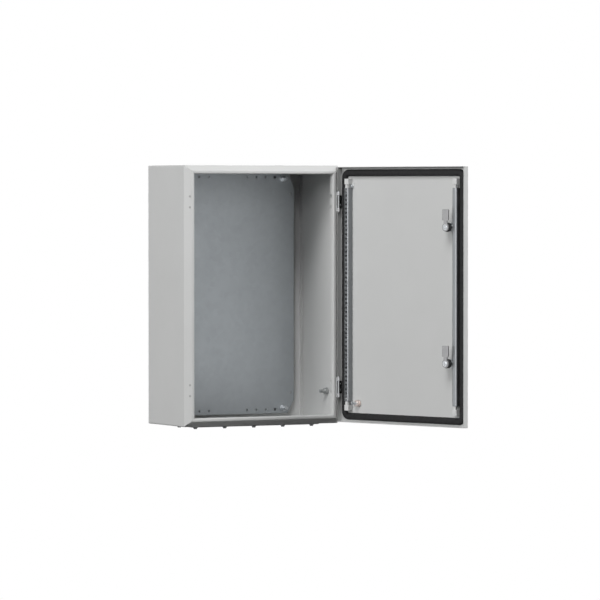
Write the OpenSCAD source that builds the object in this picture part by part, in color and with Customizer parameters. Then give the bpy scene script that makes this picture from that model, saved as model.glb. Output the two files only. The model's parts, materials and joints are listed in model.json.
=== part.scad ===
// Wall-mounted sheet-steel enclosure with one hinged door, shown with the door open.
// Frame: X to the right seen from the front, the wall is the plane y = 0 and the front
// faces -Y, Z is up. The origin is the middle of the four wall-fixing holes.
// A door piece is modelled with the door closed and then swung about the hinge axis.

/* [Body] */
// Width of the body
body_w = 400; // [300:10:600]
// Height of the body
body_h = 600; // [500:10:900]
// Depth from the wall to the outside of the closed door
overall_d = 210; // [190:5:400]
// Thickness of the body's sheet
body_t = 1.5; // [1.2:0.1:2]
// Inner radius of every sheet bend
bend_r = 1.5; // [0.8:0.1:2]
// Radius of the body's four long corner edges
edge_r = 2.5; // [1:0.5:3]
// Depth of the rear panel's folded edge
rear_flange = 12; // [8:1:18]

/* [Front frame] */
// Width of the bevel seen from the front
bevel_w = 12.5; // [11.5:0.5:14]
// Depth of the bevel
bevel_d = 16; // [14:0.5:17]
// Width of the flat rim that the door gasket seals on
rim_w = 7.5; // [6:0.5:9]
// Depth of the return behind the rim
return_d = 15; // [12:0.5:17]

/* [Wall fixing] */
// Distance of each wall hole from the body's side
wall_hole_side = 40; // [36:1:60]
// Distance of each wall hole from the body's top or bottom
wall_hole_end = 50; // [44:1:80]
// Diameter of the wall holes
wall_hole_dia = 8.5; // [6:0.5:10]

/* [Mounting plate] */
// Gap between each side of the body and the plate
plate_side = 25; // [20:1:30]
// Gap between each end of the body and the plate
plate_end = 17; // [14:1:24]
// Thickness of the plate
plate_t = 2; // [1.5:0.5:3]
// Distance that the studs' collars hold the plate off the rear panel
plate_standoff = 10; // [6:1:20]
// Width of the plate's corner chamfer
plate_cut_x = 17; // [12:1:20]
// Height of the plate's corner chamfer
plate_cut_z = 30; // [20:1:34]
// Distance of the fixing studs from the plate's side
stud_side = 28.5; // [26:0.5:36]
// Distance of the fixing studs from the plate's end
stud_end = 12; // [11:0.5:16]
// Diameter of the fixing studs
stud_dia = 8; // [6:1:10]
// Length of the fixing studs
stud_len = 30; // [24:1:40]
// Pitch of the holes along the plate's ends
hole_pitch = 25; // [20:5:40]
// Distance of the first of those holes from the middle
hole_first = 50; // [40:5:60]
// Diameter of those holes
hole_dia = 4.6; // [3:0.2:6]
// Diameter of the last hole of each row
end_hole_dia = 7; // [6:0.5:9]
// Distance of those holes from the plate's edges
hole_edge = 9; // [7.5:0.5:10]
// Distance of the side holes from the plate's ends
side_hole_end = 48; // [42:1:60]

/* [Gland plate] */
// Gap between each side of the body and the gland plate
gland_side = 35; // [32:1:60]
// Distance of the gland plate behind the front bevel
gland_front = 25; // [20:1:30]
// Depth of the gland plate
gland_d = 110; // [90:1:115]
// Thickness of the gland plate
gland_t = 1.5; // [1:0.5:3]
// Thickness of its gasket
gland_seal_t = 1.5; // [1:0.5:2]
// Distance of the gland plate's screws from its edges
gland_screw_in = 13.5; // [10:0.5:15]
// Largest pitch of the gland plate's screws
gland_pitch = 100; // [60:5:120]
// Diameter of the gland plate's screws
gland_screw_dia = 5; // [4:0.5:6]
// Length of those screws above the body's bottom
gland_screw_tail = 8; // [4:1:14]
// Height of their heads
gland_head_h = 3.2; // [2.4:0.2:4]
// Width of the seal between the screws and the opening
gland_land = 14; // [10:1:18]

/* [Door] */
// Depth of the door's folded edges
door_d = 15.5; // [15:0.5:18]
// Thickness of the door's sheet
door_t = 1.5; // [1.2:0.1:2]
// Distance of the door's top and bottom edge from the body's
door_trim = 3; // [1:0.5:4]
// Angle at which the door stands open
door_open = 107.4; // [95:0.1:115]
// Width of the door gasket
gasket_w = 16; // [14:0.5:16]
// Distance of the gasket's middle from the door's edges
gasket_in = 14; // [13.5:0.5:15]
// Radius of the gasket's corners along its middle
gasket_corner_r = 12; // [9:0.5:16]
// Gap left between the gasket and the body's rim
gasket_gap = 0.3; // [0.2:0.1:0.5]

/* [Door rails] */
// Width of the perforated rails
rail_w = 13.5; // [12:0.5:14]
// Height of the rails above the door panel
rail_h = 15; // [12:0.5:16]
// Thickness of the rails' sheet
rail_t = 1.5; // [1:0.1:1.5]
// Distance of the rails' ends from the body's top and bottom
rail_end = 52; // [48:1:60]
// Pitch of the rails' holes
rail_pitch = 10; // [10:1:20]
// Diameter of the rails' holes
rail_hole_dia = 6; // [4:0.5:6.5]
// Length of the block of a rail's end bracket
bracket_len = 13; // [12:1:20]
// Length of the bracket's low step between the block and the rail
bracket_step = 8.5; // [8:0.5:12]
// Length of the bracket's tongue inside the rail
bracket_tongue = 8; // [6:1:12]
// Distance that the bracket's foot reaches past the rail's side
bracket_foot = 6; // [5:0.5:10]
// Diameter of the rail studs
rail_stud_dia = 5; // [4:0.5:6]

/* [Hinges] */
// Distance of the hinges' middle from the body's top and bottom
hinge_end = 84; // [80:1:120]
// Distance of the hinge axis from the body's side
hinge_in = 3.4; // [3.2:0.1:3.8]
// Diameter of the hinge pins
pin_dia = 4; // [3:0.1:4.2]
// Radial running clearance of the hinge pins
pin_clear = 0.05; // [0.03:0.01:0.08]
// Outer diameter of the door leaf's barrel
barrel_dia = 6.8; // [6.4:0.1:7]
// Length of the door leaf's barrel
barrel_len = 29.4; // [24:0.2:32]
// Height of each of the bracket's ears
ear_h = 7.5; // [6:0.5:9]
// Gap between barrel and ears, and between barrel and bevel
hinge_gap = 0.4; // [0.3:0.1:0.5]
// Distance between the two screws of a hinge
hinge_screw_pitch = 25; // [20:1:30]
// Diameter of the hinge screws
hinge_screw_dia = 3.5; // [3:0.1:3.8]
// Diameter of the notches in the returns that let a driver reach those screws
driver_dia = 8; // [6:0.5:9]
// Thickness of the door leaf
leaf_t = 1.5; // [1:0.1:1.5]
// Gap between the door leaf and the door's folded edge
leaf_gap = 0.1; // [0.1:0.05:0.2]
// Diameter of the leaf's rivets
rivet_dia = 3; // [2.4:0.2:3]

/* [Locks] */
// Distance between the two locks
lock_pitch = 310; // [260:10:330]
// Height of the locks' middle above the door's middle
lock_up = 3.5; // [-8:0.5:8]
// Diameter of the lock housing's barrel
lock_barrel_dia = 15; // [14:0.5:16]
// Diameter of the lock's shaft
lock_shaft_dia = 9; // [8:0.5:10]
// Size across flats of the nut that holds the housing
lock_nut_flats = 19; // [18:0.5:20]
// Height of that nut
lock_nut_h = 9; // [6:0.5:12]
// Diameter of the collar that stops the cam's turn
lock_collar_dia = 21; // [19:0.5:22]
// Diameter of the lock's outer flange
lock_flange_dia = 27; // [24:1:32]
// Width of the cam's tongue
cam_w = 19; // [16:0.5:19]
// Diameter of the cam's boss
cam_boss_dia = 19; // [17:0.5:20]
// Width of the neck between the cam's boss and tongue
cam_neck = 10; // [8:0.5:12]
// Diameter of the cam screw's washer
cam_washer_dia = 13; // [11:0.5:14]
// Diameter of the cam screw's head
cam_head_dia = 8.5; // [7:0.5:10]
// Thickness of the cam
cam_t = 3; // [2:0.5:3]
// Gap between the cam and the body's return when locked
cam_gap = 1; // [0.6:0.1:1.5]

/* [Earthing] */
// Diameter of the earth studs
earth_dia = 8; // [6:1:8]
// Length of the earth studs
earth_len = 20; // [18:1:25]
// Distance of the body's earth stud behind the front bevel
body_earth_back = 47; // [40:1:60]
// Distance of the body's earth stud from the body's bottom
body_earth_up = 73; // [60:1:120]
// Distance of the door's earth stud from the door's hinge side
door_earth_in = 56; // [56:1:80]
// Distance of the door's earth stud from the body's bottom
door_earth_up = 48; // [44:1:70]

/* [Hidden] */
$fn = 48;
arc_steps = 5;
eps = 0.5;

half_w = body_w / 2;
half_h = body_h / 2;
frame_w = bevel_w + rim_w;
bevel_slope = bevel_d / bevel_w;
bevel_len = norm([bevel_w, bevel_d]);
bevel_angle = atan2(-bevel_d, -bevel_w);

// Hinge axis: as far off the bevel as the barrel needs.
axis_n = barrel_dia / 2 + hinge_gap;
hinge_fwd = bevel_slope * hinge_in + axis_n * norm([1, bevel_slope]);
axis_s = (hinge_in * bevel_w + hinge_fwd * bevel_d) / bevel_len;
ear_r = barrel_dia / 2 + 0.8;
ear_z = barrel_len / 2 + hinge_gap;
hinge_z = half_h - hinge_end;

// The door's folded edge ends just behind the hinge axis.
door_gap = hinge_fwd - 0.5;
body_d = overall_d - door_gap - door_d;
axis_x = half_w - hinge_in;
axis_y = -(body_d + hinge_fwd);
door_face_y = -(body_d + door_gap + door_d);
door_inner_y = door_face_y + door_t;
door_half_h = half_h - door_trim;
notch_d = hinge_fwd + ear_r + 0.4 - door_gap;
notch_half = ear_z + ear_h + 1.5;

// Heights above the door panel's inner face.
rim_off = door_gap + door_d - door_t - bevel_d;
gasket_h = rim_off - gasket_gap;
cam_off = rim_off + return_d + cam_gap;
lock_reach = cam_off - 1;

rail_in = max(frame_w + 2, gasket_in + gasket_w / 2 + 0.5);
lock_in = rail_in + rail_w + lock_nut_flats / 2 + 0.5;
lock_x = lock_in - half_w;
lock_z = [lock_up + lock_pitch / 2, lock_up - lock_pitch / 2];
cam_len = lock_in - body_t - 3.5;
foot_in = rail_in + rail_w + 0.5;

plate_w = body_w - 2 * plate_side;
plate_h = body_h - 2 * plate_end;
plate_y = -(body_t + plate_standoff);
stud_x = plate_w / 2 - stud_side;
stud_z = plate_h / 2 - stud_end;
nut_h = 0.8 * stud_dia;
washer_t = 1.6;

gland_w = body_w - 2 * gland_side;
gland_y = -body_d + gland_front + gland_d / 2;
gland_span = gland_w - 2 * gland_screw_in;
gland_count = ceil(gland_span / gland_pitch);
gland_row = gland_d / 2 - gland_screw_in;
gland_open_w = gland_span - 2 * gland_land;
gland_open_d = 2 * gland_row - 2 * gland_land;

// ---- plane geometry ----

function unit(v) = v / norm(v);
function left_of(v) = [-v[1], v[0]];
function turned(p, a) = [p[0] * cos(a) - p[1] * sin(a), p[0] * sin(a) + p[1] * cos(a)];
function cross2(a, b) = a[0] * b[1] - a[1] * b[0];

// Arc of radius r that rounds the corner b between a and c.
function corner_arc(a, b, c, r) =
    let (
        u = unit(a - b),
        w = unit(c - b),
        half = acos(u * w) / 2,
        centre = b + unit(u + w) * r / sin(half),
        start = b + u * r / tan(half) - centre,
        sweep = -sign(cross2(u, w)) * (180 - 2 * half)
    )
    [for (i = [0 : arc_steps]) centre + turned(start, sweep * i / arc_steps)];

// Corner b moved to the left of the path a-b-c by t.
function mitred(a, b, c, t) =
    let (n1 = left_of(unit(b - a)), n2 = left_of(unit(c - b)))
    b + (n1 + n2) * t / (1 + n1 * n2);

// True where the path a-b-c turns to the left.
function turns_left(a, b, c) = cross2(b - a, c - b) > 0;

// Section of a sheet of thickness t, folded along a path and lying to its left.
function sheet_outline(path, t, r) =
    let (
        last = len(path) - 1,
        near = [for (i = [1 : 1 : last - 1])
            for (p = corner_arc(path[i - 1], path[i], path[i + 1],
                turns_left(path[i - 1], path[i], path[i + 1]) ? r + t : r)) p],
        shifted = [for (i = [0 : last])
            i == 0 ? path[0] + left_of(unit(path[1] - path[0])) * t :
            i == last ? path[last] + left_of(unit(path[last] - path[last - 1])) * t :
            mitred(path[i - 1], path[i], path[i + 1], t)],
        far = [for (i = [last - 1 : -1 : 1])
            for (p = corner_arc(shifted[i + 1], shifted[i], shifted[i - 1],
                turns_left(path[i - 1], path[i], path[i + 1]) ? r : r + t)) p]
    )
    concat([path[0]], near, [path[last], shifted[last]], far, [shifted[0]]);

// Rectangle with rounded corners.
function round_rect(hx, hy, r) =
    let (p = [[-hx, -hy], [hx, -hy], [hx, hy], [-hx, hy]])
    [for (i = [0 : 3]) for (q = corner_arc(p[(i + 3) % 4], p[i], p[(i + 1) % 4], r)) q];

// Outline of a tray: its face is y = 0, its edges run to y = depth.
function tray_outline(half, face, depth, r) =
    let (p = [[-half, depth], [-half, face], [half, face], [half, depth]])
    concat([p[0]], corner_arc(p[0], p[1], p[2], r), corner_arc(p[1], p[2], p[3], r), [p[3]]);

// ---- placing ----

// Extrudes a section drawn in x and y along z, between two heights.
module along_z(z0, z1) {
    translate([0, 0, z0]) linear_extrude(z1 - z0) children();
}

// Extrudes a section whose first coordinate is z and second is y along x.
module along_x(x0, x1) {
    translate([x0, 0, 0]) mirror([1, 0, -1]) linear_extrude(x1 - x0) children();
}

module both_x() {
    children();
    mirror([1, 0, 0]) children();
}

module both_z() {
    children();
    mirror([0, 0, 1]) children();
}

// Turns a shape built along +z so that it points along -y, away from the wall.
module to_front() {
    rotate([90, 0, 0]) children();
}

// Swings a piece of the closed door to where the open door stands.
module on_door() {
    translate([axis_x, axis_y, 0]) rotate(door_open) translate([-axis_x, -axis_y, 0]) children();
}

// On the right bevel: x runs up the bevel to the rim, y is its outward normal.
module on_bevel() {
    translate([half_w, -body_d, 0]) rotate(bevel_angle) children();
}

// On the closed door at a lock: z is the height above the panel, -y is up.
module at_lock(z) {
    on_door() translate([lock_x, door_inner_y, z]) rotate([-90, 0, 0]) children();
}

module ring(outer, inner, h) {
    difference() {
        cylinder(h = h, d = outer);
        translate([0, 0, -eps]) cylinder(h = h + 2 * eps, d = inner);
    }
}

// Hexagon nut or bolt head with chamfered corners.
module hexagon(flats, bore, h) {
    difference() {
        intersection() {
            cylinder(h = h, d = flats / cos(30), $fn = 6);
            union() {
                cylinder(h = h / 2, d = flats / cos(30));
                translate([0, 0, h / 2])
                    cylinder(h = h / 2, d1 = flats / cos(30) + 0.3 * h, d2 = flats);
            }
        }
        if (bore > 0) translate([0, 0, -eps]) cylinder(h = h + 2 * eps, d = bore);
    }
}

// ---- body ----

// Path of a wall and its front frame, from the wall edge to the end of the return.
function wall_path() = [
    [0, 0],
    [0, -body_d],
    [bevel_w, -body_d - bevel_d],
    [frame_w, -body_d - bevel_d],
    [frame_w, -body_d - bevel_d + return_d],
];

// Space of one side's mitre: nearer to the right side than to the top or bottom.
module side_mitre() {
    reach = frame_w + 20;
    translate([0, 1, 0]) to_front() linear_extrude(overall_d + 2) polygon([
        [half_w + 1, -half_h - 1], [half_w + 1, half_h + 1],
        [half_w - reach, half_h - reach], [half_w - reach, -half_h + reach],
    ]);
}

module end_mitre() {
    reach = frame_w + 20;
    translate([0, 1, 0]) to_front() linear_extrude(overall_d + 2) polygon([
        [-half_w - 1, half_h + 1], [half_w + 1, half_h + 1],
        [half_w - reach, half_h - reach], [-half_w + reach, half_h - reach],
    ]);
}

module rounded_edges() {
    translate([0, 1, 0]) to_front() linear_extrude(overall_d + 2)
        polygon(round_rect(half_w, half_h, edge_r));
}

// Right side wall: the bevel has the hinge screws' holes and the return has a notch
// in line with each one.
module side_wall() {
    outline = [for (p = sheet_outline(wall_path(), body_t, bend_r)) [half_w - p[0], p[1]]];
    difference() {
        intersection() {
            along_z(-half_h, half_h) polygon(outline);
            side_mitre();
            rounded_edges();
        }
        hinge_screw_places() translate([0, 0, -2 * body_t - eps])
            cylinder(h = 3 * body_t + eps, d = hinge_screw_dia);
        hinge_screw_places() translate([0, 0, -frame_w - 4])
            cylinder(h = frame_w - 4, d = driver_dia);
    }
}

// Top wall.
module end_wall() {
    outline = [for (p = sheet_outline(wall_path(), body_t, bend_r)) [half_h - p[0], p[1]]];
    intersection() {
        along_x(-half_w, half_w) polygon(outline);
        end_mitre();
        rounded_edges();
    }
}

module side_right() {
    color("gainsboro") side_wall();
}

module side_left() {
    color("gainsboro") mirror([1, 0, 0]) side_wall();
}

module top_panel() {
    color("gainsboro") end_wall();
}

module bottom_panel() {
    color("gainsboro") difference() {
        mirror([0, 0, 1]) end_wall();
        translate([0, gland_y, -half_h - eps]) linear_extrude(body_t + 2 * eps)
            polygon(round_rect(gland_open_w / 2, gland_open_d / 2, 4));
        gland_screw_places() translate([0, 0, -half_h - eps])
            cylinder(h = body_t + 2 * eps, d = gland_screw_dia);
    }
}

// Sheet tray with its face outwards at y = 0 and its edges folded to y = depth.
module tray(half_x, half_z, depth, t) {
    difference() {
        intersection() {
            along_z(-half_z, half_z) polygon(tray_outline(half_x, 0, depth, bend_r + t));
            along_x(-half_x, half_x) polygon(tray_outline(half_z, 0, depth, bend_r + t));
        }
        intersection() {
            along_z(-half_z, half_z) polygon(tray_outline(half_x - t, t, depth + 1, bend_r));
            along_x(-half_x, half_x) polygon(tray_outline(half_z - t, t, depth + 1, bend_r));
        }
    }
}

module wall_hole_places() {
    for (x = [-1, 1], z = [-1, 1])
        translate([x * (half_w - wall_hole_side), 0, z * (half_h - wall_hole_end)]) children();
}

module rear_panel() {
    color("gainsboro") difference() {
        mirror([0, 1, 0]) tray(half_w - body_t, half_h - body_t, rear_flange, body_t);
        wall_hole_places() translate([0, eps, 0]) to_front()
            cylinder(h = body_t + 2 * eps, d = wall_hole_dia);
    }
}

// ---- mounting plate ----

module stud_places(y) {
    for (x = [-1, 1], z = [-1, 1]) translate([x * stud_x, y, z * stud_z]) to_front() children();
}

module plate_studs() {
    color("silver") stud_places(-body_t) union() {
        cylinder(h = stud_len, d = stud_dia);
        cylinder(h = plate_standoff, d = 1.75 * stud_dia);
    }
}

module plate_outline() {
    x = plate_w / 2;
    z = plate_h / 2;
    polygon([
        [x - plate_cut_x, z], [x, z - plate_cut_z], [x, -z + plate_cut_z], [x - plate_cut_x, -z],
        [-x + plate_cut_x, -z], [-x, -z + plate_cut_z], [-x, z - plate_cut_z], [-x + plate_cut_x, z],
    ]);
}

module mounting_plate() {
    row_z = plate_h / 2 - hole_edge;
    last = floor((stud_x - stud_dia - 12 - hole_first) / hole_pitch);
    color("lightsteelblue") difference() {
        translate([0, plate_y, 0]) to_front() linear_extrude(plate_t) plate_outline();
        stud_places(plate_y + eps) cylinder(h = plate_t + 2 * eps, d = stud_dia);
        for (i = [0 : last], x = [-1, 1], z = [-1, 1])
            translate([x * (hole_first + i * hole_pitch), plate_y + eps, z * row_z]) to_front()
                cylinder(h = plate_t + 2 * eps, d = i == last ? end_hole_dia : hole_dia);
        for (x = [-1, 1], z = [-1, 1])
            translate([x * (plate_w / 2 - hole_edge), plate_y + eps,
                z * (plate_h / 2 - side_hole_end)]) to_front()
                cylinder(h = plate_t + 2 * eps, d = hole_dia);
    }
}

module plate_washers() {
    color("silver") stud_places(plate_y - plate_t) ring(2 * stud_dia, stud_dia, washer_t);
}

module plate_nuts() {
    color("silver") stud_places(plate_y - plate_t - washer_t)
        hexagon(1.625 * stud_dia, stud_dia, nut_h);
}

// ---- gland plate ----

module gland_screw_places() {
    for (i = [0 : gland_count], y = [-1, 1])
        translate([gland_span * (i / gland_count - 0.5), gland_y + y * gland_row, 0]) children();
}

module gland_gasket() {
    color("dimgray") translate([0, 0, -half_h - gland_seal_t]) difference() {
        translate([0, gland_y, 0]) linear_extrude(gland_seal_t)
            polygon(round_rect(gland_w / 2 - 1, gland_d / 2 - 1, 3));
        translate([0, gland_y, -eps]) linear_extrude(gland_seal_t + 2 * eps)
            polygon(round_rect(gland_open_w / 2, gland_open_d / 2, 4));
        gland_screw_places() translate([0, 0, -eps])
            cylinder(h = gland_seal_t + 2 * eps, d = gland_screw_dia);
    }
}

module gland_plate() {
    color("gainsboro") translate([0, 0, -half_h - gland_seal_t - gland_t]) difference() {
        translate([0, gland_y, 0]) linear_extrude(gland_t)
            polygon(round_rect(gland_w / 2, gland_d / 2, 4));
        gland_screw_places() translate([0, 0, -eps])
            cylinder(h = gland_t + 2 * eps, d = gland_screw_dia);
    }
}

// Pan-headed screws that point up through the plate, the gasket and the body.
module gland_screws() {
    head_z = -half_h - gland_seal_t - gland_t;
    color("silver") gland_screw_places() translate([0, 0, head_z]) union() {
        cylinder(h = gland_t + gland_seal_t + body_t + gland_screw_tail, d = gland_screw_dia);
        rotate([180, 0, 0]) cylinder(h = 1.2, d = 2.2 * gland_screw_dia);
        rotate([180, 0, 0]) translate([0, 0, 1.2]) difference() {
            cylinder(h = gland_head_h, d1 = 1.9 * gland_screw_dia, d2 = 1.5 * gland_screw_dia);
            for (a = [0, 90]) rotate(a) translate([-gland_screw_dia / 2, -0.5, gland_head_h - 2])
                cube([gland_screw_dia, 1, 3]);
        }
    }
}

// ---- earthing ----

module earth_stud_shape() {
    union() {
        cylinder(h = earth_len, d = earth_dia);
        cylinder(h = 1.2, d = 1.5 * earth_dia);
    }
}

// Contact washer and nut, 1.2 mm up the stud.
module earth_nut_shape() {
    translate([0, 0, 1.2]) union() {
        ring(2 * earth_dia, earth_dia, washer_t);
        translate([0, 0, washer_t]) hexagon(1.625 * earth_dia, earth_dia, 0.8 * earth_dia);
    }
}

module at_body_earth() {
    translate([half_w - body_t, -body_d + body_earth_back, -half_h + body_earth_up])
        rotate([0, -90, 0]) children();
}

module at_door_earth() {
    on_door() translate([half_w - door_earth_in, door_inner_y, -half_h + door_earth_up])
        rotate([-90, 0, 0]) children();
}

module body_earth_stud() {
    color("silver") at_body_earth() earth_stud_shape();
}

module body_earth_nut() {
    color("silver") at_body_earth() earth_nut_shape();
}

module door_earth_stud() {
    color("silver") at_door_earth() earth_stud_shape();
}

module door_earth_nut() {
    color("peru") at_door_earth() earth_nut_shape();
}

// ---- hinges ----

// Places of the hinge screws on the right bevel; z is the outward normal.
base_s1 = bevel_len - (bend_r + body_t) * tan((90 - atan(bevel_w / bevel_d)) / 2) - 0.6;
base_s0 = axis_s + sqrt(pow(barrel_dia / 2, 2) - pow(axis_n - body_t, 2)) + hinge_gap;
screw_s = (base_s0 + base_s1) / 2;

module hinge_screw_places() {
    for (z = [-1, 1], k = [-1, 1]) on_bevel()
        translate([screw_s, 0, z * hinge_z + k * hinge_screw_pitch / 2]) rotate([-90, 0, 0])
            children();
}

// Body half of a hinge: a base on the bevel with an ear at each end.
module hinge_bracket(z) {
    ear_s = axis_s - ear_r;
    color("lightgray") on_bevel() translate([0, 0, z]) difference() {
        union() {
            translate([base_s0, 0, -ear_z - ear_h])
                cube([base_s1 - base_s0, body_t, 2 * (ear_z + ear_h)]);
            both_z() translate([0, 0, ear_z]) linear_extrude(ear_h) union() {
                translate([ear_s, 0]) square([base_s1 - ear_s, body_t]);
                translate([ear_s, 0]) square([2 * ear_r, axis_n]);
                intersection() {
                    translate([axis_s, axis_n]) circle(ear_r);
                    translate([ear_s, 0]) square(4 * ear_r);
                }
            }
        }
        translate([axis_s, axis_n, -ear_z - ear_h - eps])
            cylinder(h = 2 * (ear_z + ear_h + eps), d = pin_dia);
        for (k = [-1, 1]) translate([screw_s, -eps, k * hinge_screw_pitch / 2])
            rotate([-90, 0, 0]) cylinder(h = body_t + 2 * eps, d = hinge_screw_dia);
    }
}

module hinge_pin(z) {
    end = ear_z + ear_h;
    color("silver") translate([axis_x, axis_y, z - end - 1]) union() {
        cylinder(h = 2 * end + 1, d = pin_dia);
        translate([0, 0, 2 * end + 1]) cylinder(h = 1.5, d = 1.6 * pin_dia);
    }
}

// Barrel on the pin and an angle that is riveted to the door's folded edge.
module hinge_leaf(z) {
    leaf_x = half_w - door_t - leaf_gap;
    foot_x = half_w - gasket_in + gasket_w / 2 + 0.5;
    path = [[foot_x, door_inner_y], [leaf_x, door_inner_y], [leaf_x, axis_y]];
    color("silver") on_door() translate([0, 0, z - barrel_len / 2]) difference() {
        union() {
            translate([axis_x, axis_y, 0]) cylinder(h = barrel_len, d = barrel_dia);
            linear_extrude(barrel_len) polygon(sheet_outline(path, leaf_t, bend_r));
        }
        translate([axis_x, axis_y, -eps])
            cylinder(h = barrel_len + 2 * eps, d = pin_dia + 2 * pin_clear);
        leaf_rivet_places(barrel_len / 2) translate([0, 0, -4])
            cylinder(h = 8, d = rivet_dia);
    }
}

// Two rivets side by side through the door's folded edge; z points outwards.
module leaf_rivet_places(z) {
    mid_y = (door_inner_y + leaf_t + axis_y - ear_r) / 2;
    for (k = [-1, 1]) translate([half_w, mid_y, z + k * barrel_len / 4])
        rotate([0, 90, 0]) children();
}

module hinge_rivets() {
    grip = door_t + leaf_gap + leaf_t;
    color("silver") on_door() for (z = [-1, 1]) leaf_rivet_places(z * hinge_z) union() {
        translate([0, 0, -grip]) cylinder(h = grip, d = rivet_dia);
        cylinder(h = 1, d1 = 1.8 * rivet_dia, d2 = 1.3 * rivet_dia);
        translate([0, 0, -grip]) rotate([180, 0, 0])
            cylinder(h = 0.8, d1 = 1.5 * rivet_dia, d2 = 1.3 * rivet_dia);
    }
}

// Screws from inside the body into the brackets.
module hinge_screws() {
    color("silver") hinge_screw_places() union() {
        translate([0, 0, -body_t]) cylinder(h = 2 * body_t, d = hinge_screw_dia);
        translate([0, 0, -body_t - 2.4])
            cylinder(h = 2.4, d1 = 1.5 * hinge_screw_dia, d2 = 1.8 * hinge_screw_dia);
    }
}

// Plugs in the screw holes of the unused hinge side.
module hinge_hole_plugs() {
    color("gray") mirror([1, 0, 0]) hinge_screw_places() union() {
        cylinder(h = 0.6, d = 1.5 * hinge_screw_dia);
        translate([0, 0, -body_t - 1]) cylinder(h = body_t + 1, d = hinge_screw_dia);
    }
}

// ---- door ----

module door_panel() {
    color("gainsboro") on_door() difference() {
        translate([0, door_face_y, 0]) tray(half_w, door_half_h, door_d, door_t);
        for (z = [-1, 1]) {
            translate([half_w - 3 * door_t, door_face_y + door_d - notch_d, z * hinge_z - notch_half])
                cube([4 * door_t, notch_d + 1, 2 * notch_half]);
            leaf_rivet_places(z * hinge_z) translate([0, 0, -2 * door_t])
                cylinder(h = 3 * door_t, d = rivet_dia);
        }
        for (z = lock_z) translate([lock_x, door_face_y - eps, z]) rotate([-90, 0, 0])
            cylinder(h = door_t + 2 * eps, d = lock_barrel_dia);
    }
}

// Half-round foam bead, drawn with its base on y = 0.
module gasket_section() {
    steps = 12;
    polygon([
        for (i = [0 : steps])
            let (a = 180 * i / steps, c = cos(a), s = sin(a))
            [sign(c) * pow(abs(c), 0.7) * gasket_w / 2, pow(s, 0.6) * gasket_h]
    ]);
}

module gasket_run(length) {
    rotate([90, 0, 90]) translate([0, 0, -length / 2]) linear_extrude(length) gasket_section();
}

// The bead runs round the door in one closed loop.
module door_gasket() {
    mx = half_w - gasket_in;
    mz = door_half_h - gasket_in;
    r = gasket_corner_r;
    color("black") on_door() translate([0, door_inner_y, 0]) rotate([-90, 0, 0]) union() {
        for (s = [-1, 1]) {
            translate([0, s * mz, 0]) gasket_run(2 * (mx - r));
            translate([s * mx, 0, 0]) rotate(90) gasket_run(2 * (mz - r));
        }
        for (x = [0, 1], y = [0, 1]) mirror([x, 0, 0]) mirror([0, y, 0])
            translate([mx - r, mz - r, 0]) rotate_extrude(angle = 90)
                translate([r, 0]) gasket_section();
    }
}

// Rail on the hinge side (1) or the lock side (-1). Its row of holes is in the top on the
// hinge side and in the wall towards the door's middle on the lock side.
module rail(side) {
    length = body_h - 2 * rail_end;
    outer = half_w - rail_in;
    inner = outer - rail_w;
    base = door_inner_y;
    path = [[outer, base], [outer, base + rail_h], [inner, base + rail_h], [inner, base]];
    count = floor((length - rail_pitch) / rail_pitch);
    on_door() mirror([side < 0 ? 1 : 0, 0, 0]) difference() {
        along_z(-length / 2, length / 2) polygon(sheet_outline(path, rail_t, bend_r));
        for (i = [0 : count]) translate([0, 0, (i - count / 2) * rail_pitch]) {
            if (side > 0) translate([(outer + inner) / 2, base + rail_h - rail_t - eps, 0])
                rotate([-90, 0, 0]) cylinder(h = rail_t + 2 * eps, d = rail_hole_dia);
            else translate([inner - eps, base + rail_h / 2, 0])
                rotate([0, 90, 0]) cylinder(h = rail_t + 2 * eps, d = rail_hole_dia);
        }
    }
}

module door_rail_hinge() {
    color("lightsteelblue") rail(1);
}

module door_rail_lock() {
    color("lightsteelblue") rail(-1);
}

module rail_nut_places() {
    for (x = [0, 1], z = [0, 1]) on_door() mirror([x, 0, 0]) mirror([0, 0, z])
        translate([half_w - foot_in, door_inner_y, half_h - rail_end + bracket_step / 2])
            rotate([-90, 0, 0]) children();
}

// End bracket of a rail: a block as high as the rail, a low foot with the nut's hole
// between them, and a tongue under the rail's top.
module rail_bracket() {
    outer = half_w - rail_in;
    inner = outer - rail_w;
    base = door_inner_y;
    rail_z = half_h - rail_end;
    block_z = rail_z + bracket_step;
    inset = rail_t + bend_r + 0.1;
    path = [[outer, base], [outer, base + rail_h], [inner, base + rail_h], [inner, base]];
    union() {
        along_z(block_z, block_z + bracket_len) polygon(sheet_outline(path, rail_t, bend_r));
        translate([inner + inset, base + rail_h - 2 * rail_t, rail_z - bracket_tongue])
            cube([rail_w - 2 * inset, rail_t, bracket_step + bracket_tongue + bracket_len / 2]);
        translate([inner - bracket_foot, base, rail_z + 0.3])
            cube([rail_w + bracket_foot, rail_t, bracket_step + 4]);
    }
}

module rail_brackets() {
    color("whitesmoke") difference() {
        on_door() both_x() both_z() rail_bracket();
        rail_nut_places() translate([0, 0, -eps]) cylinder(h = rail_t + 2 * eps, d = rail_stud_dia);
    }
}

// Weld studs on the door with their nuts.
module rail_nuts() {
    color("silver") rail_nut_places() union() {
        cylinder(h = rail_t + 5, d = rail_stud_dia);
        translate([0, 0, rail_t]) hexagon(1.6 * rail_stud_dia, 0, 0.8 * rail_stud_dia);
    }
}

// ---- locks ----

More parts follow.
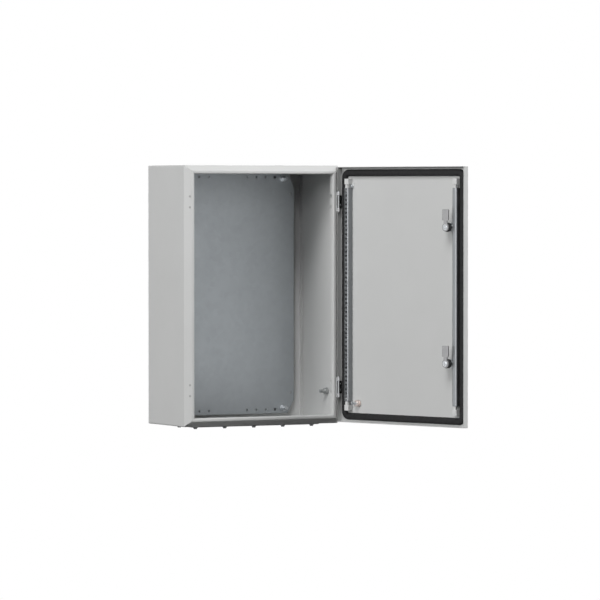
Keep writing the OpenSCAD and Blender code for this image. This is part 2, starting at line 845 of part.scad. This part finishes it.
// Housing: flange outside the door, threaded barrel inside, recess for the key.
module lock_housing(z) {
    color("silver") at_lock(z) difference() {
        union() {
            translate([0, 0, -door_t]) cylinder(h = lock_reach + door_t, d = lock_barrel_dia);
            translate([0, 0, -door_t]) rotate([180, 0, 0])
                cylinder(h = 2, d = lock_flange_dia);
            translate([0, 0, -door_t - 2]) rotate([180, 0, 0])
                cylinder(h = 1.5, d1 = lock_flange_dia, d2 = lock_flange_dia - 5);
        }
        translate([0, 0, -door_t - 5]) cylinder(h = lock_reach + 12, d = lock_shaft_dia + 0.1);
        translate([0, 0, -door_t - 4.5]) cylinder(h = 4.5, d = lock_shaft_dia + 3);
    }
}

module lock_nut(z) {
    color("silver") at_lock(z) rotate(30) hexagon(lock_nut_flats, lock_barrel_dia, lock_nut_h);
}

// Collar at the barrel's end, just clear of the rail beside it.
module lock_collar(z) {
    z0 = rail_h + 0.4;
    color("black") at_lock(z) difference() {
        translate([0, 0, z0]) cylinder(h = lock_reach - z0, d = lock_collar_dia);
        translate([0, 0, z0 - eps]) cylinder(h = lock_reach, d = lock_barrel_dia);
    }
}

// Turning part: three-sided key post, shaft, and a square that carries the cam.
module lock_insert(z) {
    square_w = 0.7 * lock_shaft_dia;
    color("silver") at_lock(z) difference() {
        union() {
            translate([0, 0, -door_t]) cylinder(h = cam_off + door_t, d = lock_shaft_dia);
            translate([0, 0, -door_t - 2.8]) cylinder(h = 2.8, d = 0.9 * lock_shaft_dia, $fn = 3);
            translate([-square_w / 2, -square_w / 2, cam_off]) cube([square_w, square_w, cam_t]);
        }
        translate([0, 0, cam_off - 6]) cylinder(h = 6 + cam_t + eps, d = 4);
    }
}

// Flat cam: a round boss on the square, a neck and a broad tongue; it points up at rest.
module lock_cam(z) {
    boss_r = cam_boss_dia / 2;
    tongue_r = boss_r + 6;
    square_w = 0.7 * lock_shaft_dia;
    color("silver") at_lock(z) translate([0, 0, cam_off]) difference() {
        linear_extrude(cam_t) union() {
            circle(boss_r);
            translate([-cam_neck / 2, -tongue_r - 3]) square([cam_neck, tongue_r + 3]);
            translate([0, -(tongue_r + cam_len) / 2])
                polygon(round_rect(cam_w / 2, (cam_len - tongue_r) / 2, 2));
        }
        translate([-square_w / 2, -square_w / 2, -eps])
            cube([square_w, square_w, cam_t + 2 * eps]);
    }
}

module lock_cam_screw(z) {
    color("white") at_lock(z) translate([0, 0, cam_off]) difference() {
        union() {
            translate([0, 0, -5]) cylinder(h = 5 + cam_t, d = 4);
            translate([0, 0, cam_t]) cylinder(h = 1, d = cam_washer_dia);
            translate([0, 0, cam_t + 1])
                cylinder(h = 2.6, d1 = cam_head_dia, d2 = cam_head_dia - 1.5);
        }
        for (a = [0, 90]) rotate(a) translate([-2, -0.4, cam_t + 2.4]) cube([4, 0.8, 2]);
    }
}

side_left();
side_right();
top_panel();
bottom_panel();
rear_panel();
plate_studs();
mounting_plate();
plate_washers();
plate_nuts();
gland_gasket();
gland_plate();
gland_screws();
body_earth_stud();
body_earth_nut();
hinge_hole_plugs();
hinge_bracket(hinge_z);  // hinge_bracket_upper
hinge_bracket(-hinge_z);  // hinge_bracket_lower
hinge_pin(hinge_z);  // hinge_pin_upper
hinge_pin(-hinge_z);  // hinge_pin_lower
hinge_screws();
door_panel();
door_gasket();
door_rail_hinge();
door_rail_lock();
rail_brackets();
rail_nuts();
door_earth_stud();
door_earth_nut();
hinge_leaf(hinge_z);  // hinge_leaf_upper
hinge_leaf(-hinge_z);  // hinge_leaf_lower
hinge_rivets();
lock_housing(lock_z[0]);  // lock_housing_upper
lock_nut(lock_z[0]);  // lock_nut_upper
lock_collar(lock_z[0]);  // lock_collar_upper
lock_insert(lock_z[0]);  // lock_insert_upper
lock_cam(lock_z[0]);  // lock_cam_upper
lock_cam_screw(lock_z[0]);  // lock_cam_screw_upper
lock_housing(lock_z[1]);  // lock_housing_lower
lock_nut(lock_z[1]);  // lock_nut_lower
lock_collar(lock_z[1]);  // lock_collar_lower
lock_insert(lock_z[1]);  // lock_insert_lower
lock_cam(lock_z[1]);  // lock_cam_lower
lock_cam_screw(lock_z[1]);  // lock_cam_screw_lower
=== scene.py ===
"""Materials, floor, lamps, room and camera around the wall enclosure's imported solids."""
import json
import math

import bmesh
import bpy
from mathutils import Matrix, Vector


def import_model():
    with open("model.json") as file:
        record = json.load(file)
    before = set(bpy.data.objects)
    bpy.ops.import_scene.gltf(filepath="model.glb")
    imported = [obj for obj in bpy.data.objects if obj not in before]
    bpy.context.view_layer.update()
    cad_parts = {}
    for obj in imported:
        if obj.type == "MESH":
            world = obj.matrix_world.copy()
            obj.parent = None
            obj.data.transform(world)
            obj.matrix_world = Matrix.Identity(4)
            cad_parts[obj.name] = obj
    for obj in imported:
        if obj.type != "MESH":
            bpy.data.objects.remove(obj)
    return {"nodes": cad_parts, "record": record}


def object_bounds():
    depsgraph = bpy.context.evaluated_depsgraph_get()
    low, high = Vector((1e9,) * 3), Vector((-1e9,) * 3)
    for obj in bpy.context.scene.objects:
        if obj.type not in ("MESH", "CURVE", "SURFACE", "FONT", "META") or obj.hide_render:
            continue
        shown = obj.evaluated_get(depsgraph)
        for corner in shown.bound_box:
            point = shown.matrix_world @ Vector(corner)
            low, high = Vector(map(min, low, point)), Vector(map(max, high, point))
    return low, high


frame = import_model()
cad_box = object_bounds()
record = frame["record"]
nodes = frame["nodes"]
slot_of = {s["node"]: s["material_slot"] for s in record["subparts"]}


# ---------------------------------------------------------------- shader helpers

MIX_A, MIX_B, MIX_RESULT = 6, 7, 2   # the Mix node's colour sockets
BEVEL_SAMPLES = 6
SPREAD_FROM = (0.3, 0.7)             # the part of a noise's range that is used


def new_node(tree, kind, **props):
    node = tree.nodes.new(kind)
    for key, value in props.items():
        setattr(node, key, value)
    return node


def maths(tree, operation, a, b):
    """Result of a Math node; a is a socket, b a socket or a number."""
    node = new_node(tree, "ShaderNodeMath", operation=operation)
    tree.links.new(a, node.inputs[0])
    if isinstance(b, float):
        node.inputs[1].default_value = b
    else:
        tree.links.new(b, node.inputs[1])
    return node.outputs[0]


def seen_rays(tree):
    """The Light Path node, and a socket that is 1 for what is seen directly, mirrored
    or through glass."""
    path = new_node(tree, "ShaderNodeLightPath")
    seen = path.outputs["Is Camera Ray"]
    for kind in ("Is Glossy Ray", "Is Transmission Ray"):
        seen = maths(tree, "MAXIMUM", seen, path.outputs[kind])
    return path, seen


class Mat:
    """A material whose coordinates are metres in the object's own frame."""

    def __init__(self, name):
        self.mat = bpy.data.materials.new(name)
        self.mat.use_nodes = True
        self.tree = self.mat.node_tree
        self.tree.nodes.clear()
        self.out = self.new("ShaderNodeOutputMaterial")
        self.bsdf = self.new("ShaderNodeBsdfPrincipled")
        self.link(self.bsdf.outputs["BSDF"], self.out.inputs["Surface"])
        self.coord = self.new("ShaderNodeTexCoord").outputs["Object"]

    def new(self, kind, **props):
        return new_node(self.tree, kind, **props)

    def link(self, a, b):
        self.tree.links.new(a, b)

    def set(self, **values):
        for key, value in values.items():
            self.bsdf.inputs[key.replace("_", " ")].default_value = value
        return self

    def stretched(self, scale):
        node = self.new("ShaderNodeMapping")
        node.inputs["Scale"].default_value = scale
        self.link(self.coord, node.inputs["Vector"])
        return node.outputs["Vector"]

    def noise(self, scale, detail=2.0, vector=None, output="Fac"):
        node = self.new("ShaderNodeTexNoise")
        node.inputs["Scale"].default_value = scale
        node.inputs["Detail"].default_value = detail
        self.link(vector or self.coord, node.inputs["Vector"])
        return node.outputs[output]

    def cells(self, scale, vector):
        node = self.new("ShaderNodeTexVoronoi")
        node.inputs["Scale"].default_value = scale
        self.link(vector, node.inputs["Vector"])
        return node.outputs["Color"]

    def spread(self, value, low, high, source=SPREAD_FROM):
        node = self.new("ShaderNodeMapRange")
        node.inputs["From Min"].default_value, node.inputs["From Max"].default_value = source
        node.inputs["To Min"].default_value = low
        node.inputs["To Max"].default_value = high
        self.link(value, node.inputs["Value"])
        return node.outputs["Result"]

    def mixed(self, fac, a, b):
        """Mix of a and b, each a colour or a socket, by a number or a socket."""
        node = self.new("ShaderNodeMix", data_type="RGBA")
        if isinstance(fac, float):
            node.inputs["Factor"].default_value = fac
        else:
            self.link(fac, node.inputs["Factor"])
        for index, value in ((MIX_A, a), (MIX_B, b)):
            if isinstance(value, tuple):
                node.inputs[index].default_value = (*value, 1)
            else:
                self.link(value, node.inputs[index])
        return node.outputs[MIX_RESULT]

    def coloured(self, shade, a, b):
        self.link(self.mixed(shade, a, b), self.bsdf.inputs["Base Color"])

    def roughened(self, noise, low, high):
        self.link(self.spread(noise, low, high), self.bsdf.inputs["Roughness"])

    def bumped(self, heights, edge):
        """heights: (value, strength, depth in metres), coarsest first; edge is the
        radius in metres over which the shading softens an edge."""
        bevel = self.new("ShaderNodeBevel", samples=BEVEL_SAMPLES)
        bevel.inputs["Radius"].default_value = edge
        normal = bevel.outputs["Normal"]
        for value, strength, depth in heights:
            node = self.new("ShaderNodeBump")
            node.inputs["Strength"].default_value = strength
            node.inputs["Distance"].default_value = depth
            self.link(value, node.inputs["Height"])
            self.link(normal, node.inputs["Normal"])
            normal = node.outputs["Normal"]
        self.link(normal, self.bsdf.inputs["Normal"])
        return self


def times(tint, factor, lift=0.0):
    return tuple(c * factor + lift for c in tint)


# ---------------------------------------------------------------- materials

PAINT_ROUGH = 0.46
PAINT_EDGE = 0.0024              # the coat rounds a sheet's edge
ZINC_WAVE = 0.012                # how far the spangle's outlines wander
ROLLING_GRAIN = (500, 500, 8)    # fine across, long up and down


def paint(name, tint):
    """Powder coat: soft orange peel under a fine texture, faint clouding."""
    m = Mat(name)
    m.coloured(m.spread(m.noise(7, 3), 0, 1), times(tint, 0.965), tint)
    m.roughened(m.noise(60, 3), PAINT_ROUGH - 0.03, PAINT_ROUGH + 0.05)
    peel = (m.noise(420, 2), 0.18, 0.0002)
    texture = (m.noise(1500, 2), 0.12, 0.00008)
    m.bumped([peel, texture], edge=PAINT_EDGE)
    return m.set(Specular_IOR_Level=0.28).mat


def galvanised(name, tint, rough, spangle=90, metal=0.9):
    """Hot-dip zinc on cold-rolled sheet: faint spangle and rolling grain."""
    m = Mat(name)
    wavy = m.mixed(ZINC_WAVE, m.coord, m.noise(40, output="Color"))
    cell = m.cells(spangle, wavy)
    m.coloured(m.spread(cell, 0, 1, source=(0.1, 0.9)), times(tint, 0.955), tint)
    m.roughened(m.noise(38, 4), rough - 0.05, rough + 0.07)
    rolled = m.noise(1, 3, vector=m.stretched(ROLLING_GRAIN))
    m.bumped([(cell, 0.05, 0.0002), (rolled, 0.14, 0.00005)], edge=0.0006)
    return m.set(Metallic=metal).mat


def plated(name, tint, rough, scratch=0.1, metal=1.0):
    """Small plated fastener or casting, lightly handled."""
    m = Mat(name)
    m.coloured(m.spread(m.noise(260, 4), 0, 1), times(tint, 0.88), tint)
    m.roughened(m.noise(420, 3), rough - 0.06, rough + 0.08)
    m.bumped([(m.noise(900, 4), scratch, 0.00012)], edge=0.0004)
    return m.set(Metallic=metal).mat


def foam(name, tint):
    """Foamed polyurethane bead: closed skin with fine pores and slow waves."""
    m = Mat(name)
    m.coloured(m.spread(m.noise(160, 5), 0, 1), tint, times(tint, 1.7))
    m.roughened(m.noise(300, 3), 0.62, 0.85)
    waves = (m.noise(70, 2), 0.25, 0.0008)
    pores = (m.noise(1100, 4), 0.3, 0.0003)
    m.bumped([waves, pores], edge=0.002)
    return m.set(Specular_IOR_Level=0.25).mat


def moulded(name, tint):
    """Moulded plastic with a light spark-eroded texture."""
    m = Mat(name)
    m.coloured(m.spread(m.noise(500, 3), 0, 1), tint, times(tint, 1.06, lift=0.005))
    m.roughened(m.noise(700, 2), 0.4, 0.55)
    m.bumped([(m.noise(1800, 2), 0.2, 0.0001)], edge=0.0005)
    return m.mat


slots = {
    "body_paint": paint("powder_coat", (0.605, 0.61, 0.605)),
    "galvanised_plate": galvanised("galvanised_sheet", (0.385, 0.41, 0.43), 0.5),
    "galvanised_rail": galvanised("galvanised_strip", (0.265, 0.275, 0.285), 0.42,
                                  spangle=60, metal=1.0),
    "seal_foam": foam("seal_foam", (0.009, 0.009, 0.0095)),
    "black_plastic": moulded("black_plastic", (0.012, 0.012, 0.013)),
    "earth_nut": plated("copper_toned_nut", (0.66, 0.585, 0.55), 0.45),
    "lock_zinc": plated("nickel_casting", (0.50, 0.50, 0.50), 0.36, scratch=0.16),
    "zinc_steel": plated("zinc_plating", (0.62, 0.64, 0.66), 0.3),
}

# Pieces that look unlike the rest of their record slot.
finishes = (
    # Painted shade: the gland screws' zinc is tinted near black to stand in for the shade
    # under the body.
    (("gland_screws",), plated("shade_darkened_zinc", (0.10, 0.102, 0.105), 0.5)),
    # Zinc tinted darker than plain plating, so that the earth stud's highlight stays dim.
    (("body_earth_stud", "body_earth_nut"), plated("dimmed_zinc", (0.42, 0.43, 0.43), 0.5)),
    (("hinge_leaf_upper", "hinge_leaf_lower", "hinge_rivets"),
     plated("dark_zinc", (0.46, 0.47, 0.48), 0.2, scratch=0.03)),
    (("hinge_bracket_upper", "hinge_bracket_lower"),
     plated("bright_zinc", (0.72, 0.73, 0.74), 0.42, scratch=0.06, metal=0.3)),
    (("rail_brackets",), moulded("pale_plastic", (0.64, 0.645, 0.64))),
    (("hinge_hole_plugs",), moulded("grey_plugs", (0.36, 0.365, 0.36))),
    (("lock_cam_upper", "lock_cam_lower"),
     plated("cam_zinc", (0.33, 0.33, 0.335), 0.5, metal=0.8)),
)
own_finish = {name: material for names, material in finishes for name in names}

for name, node in nodes.items():
    material = own_finish.get(name, slots[slot_of[name]])
    if node.data.materials:
        for i in range(len(node.data.materials)):
            node.data.materials[i] = material
    else:
        node.data.materials.append(material)


# ---------------------------------------------------------------- floor

FLOOR_DROP = 0.64       # below the object's lowest point
FLOOR_RADIUS = 2.3
FLOOR_SIDES = 96
FLOOR_GLOW = 0.35       # brings the floor's colour to white where it is seen


def floor():
    """Pale studio floor far below the wall-mounted body. It is clear from below, so
    that the underside can be seen, and adds nothing to the light on the object."""
    mesh = bpy.data.meshes.new("floor")
    bm = bmesh.new()
    bmesh.ops.create_circle(bm, cap_ends=True, radius=FLOOR_RADIUS, segments=FLOOR_SIDES)
    bm.to_mesh(mesh)
    bm.free()
    obj = bpy.data.objects.new("floor", mesh)
    obj.location = (0, -0.1, cad_box[0][2] - FLOOR_DROP)
    bpy.context.scene.collection.objects.link(obj)
    m = Mat("floor_paper")
    m.coloured(m.spread(m.noise(3, 2), 0, 1), (0.86, 0.86, 0.86), (0.9, 0.9, 0.9))
    m.set(Roughness=0.9)
    seen = seen_rays(m.tree)[1]
    m.link(maths(m.tree, "MULTIPLY", seen, FLOOR_GLOW), m.bsdf.inputs["Emission Strength"])
    clear = m.new("ShaderNodeBsdfTransparent")
    sides = m.new("ShaderNodeMixShader")
    m.link(m.new("ShaderNodeNewGeometry").outputs["Backfacing"], sides.inputs["Fac"])
    m.link(m.bsdf.outputs["BSDF"], sides.inputs[1])
    m.link(clear.outputs["BSDF"], sides.inputs[2])
    m.link(sides.outputs["Shader"], m.out.inputs["Surface"])
    mesh.materials.append(m.mat)
    obj.visible_diffuse = False


floor()


# ---------------------------------------------------------------- light

LAMPS_AIM = Vector((0.05, -0.2, 0))
LAMPS = (
    # name, azimuth, elevation, distance, side, power, mirrored
    ("key_right", 45, 20, 5.0, 2.0, 176, False),
    ("key_left", -45, 50, 6.0, 2.4, 200, True),
    ("side_left", -80, 12, 6.5, 2.2, 180, True),
    ("front_left", -42, 20, 6.0, 1.4, 40, True),
    ("behind", 140, 12, 5.0, 2.4, 165, False),
)


def softbox(name, azimuth, elevation, distance, side, power, mirrored):
    """Square lamp; azimuth 0 is in front of the body, positive to its right. The lamps
    that aren't mirrored would turn the top white where it is seen from across."""
    a, e = math.radians(azimuth), math.radians(elevation)
    back = Vector((math.sin(a) * math.cos(e), -math.cos(a) * math.cos(e), math.sin(e)))
    data = bpy.data.lights.new(name, "AREA")
    data.shape = "RECTANGLE"
    data.size = data.size_y = side
    data.energy = power
    obj = bpy.data.objects.new(name, data)
    obj.location = LAMPS_AIM + back * distance
    obj.rotation_euler = (-back).to_track_quat("-Z", "Y").to_euler()
    bpy.context.scene.collection.objects.link(obj)
    obj.visible_glossy = mirrored


for lamp in LAMPS:
    softbox(*lamp)


# ---------------------------------------------------------------- room

CEILING_FROM, CEILING_FULL = 0.0, 0.6   # height of direction where its light begins, is full
CEILING_STRENGTH = 0.05
WHITE = (1, 1, 1, 1)


def world():
    """Seen directly or mirrored, the room is white, but only for rays that have met no
    matt surface before, so the white adds nothing to the bounced light. What the room
    gives to matt surfaces comes mostly from above, as from a studio's ceiling."""
    w = bpy.data.worlds.new("studio")
    bpy.context.scene.world = w
    w.use_nodes = True
    t = w.node_tree
    t.nodes.clear()
    path, seen = seen_rays(t)
    direct = maths(t, "LESS_THAN", path.outputs["Diffuse Depth"], 0.5)
    white = new_node(t, "ShaderNodeBackground")
    white.inputs["Color"].default_value = WHITE
    room = new_node(t, "ShaderNodeBackground")
    room.inputs["Color"].default_value = WHITE
    coord = new_node(t, "ShaderNodeTexCoord")
    split = new_node(t, "ShaderNodeSeparateXYZ")
    ramp = new_node(t, "ShaderNodeMapRange")
    ramp.inputs["From Min"].default_value = CEILING_FROM
    ramp.inputs["From Max"].default_value = CEILING_FULL
    ramp.inputs["To Min"].default_value = 0.0
    ramp.inputs["To Max"].default_value = CEILING_STRENGTH
    t.links.new(coord.outputs["Generated"], split.inputs[0])
    t.links.new(split.outputs["Z"], ramp.inputs["Value"])
    t.links.new(ramp.outputs["Result"], room.inputs["Strength"])
    mix = new_node(t, "ShaderNodeMixShader")
    t.links.new(maths(t, "MULTIPLY", seen, direct), mix.inputs["Fac"])
    t.links.new(room.outputs[0], mix.inputs[1])
    t.links.new(white.outputs[0], mix.inputs[2])
    out = new_node(t, "ShaderNodeOutputWorld")
    t.links.new(mix.outputs[0], out.inputs["Surface"])


world()


# ---------------------------------------------------------------- camera

CAMERA_TURN = math.radians(27.918)    # to the right of straight ahead
CAMERA_TILT = math.radians(1.403)     # downward
CAMERA_TARGET = Vector((0.10092, -0.184476, -0.01199))
CAMERA_DISTANCE = 10.1068
CAMERA_LENS = 261.3
CAMERA_CLIP_END = 60

scene = bpy.context.scene
scene.view_settings.view_transform = "Standard"
scene.view_settings.look = "None"
forward = Vector((math.sin(CAMERA_TURN) * math.cos(CAMERA_TILT),
                  math.cos(CAMERA_TURN) * math.cos(CAMERA_TILT),
                  -math.sin(CAMERA_TILT)))
cam = bpy.data.cameras.new("camera")
cam.sensor_width = 36
cam.lens = CAMERA_LENS
cam.clip_end = CAMERA_CLIP_END
camera = bpy.data.objects.new("camera", cam)
camera.location = CAMERA_TARGET - forward * CAMERA_DISTANCE
camera.rotation_euler = forward.to_track_quat("-Z", "Y").to_euler()
scene.collection.objects.link(camera)
scene.camera = camera
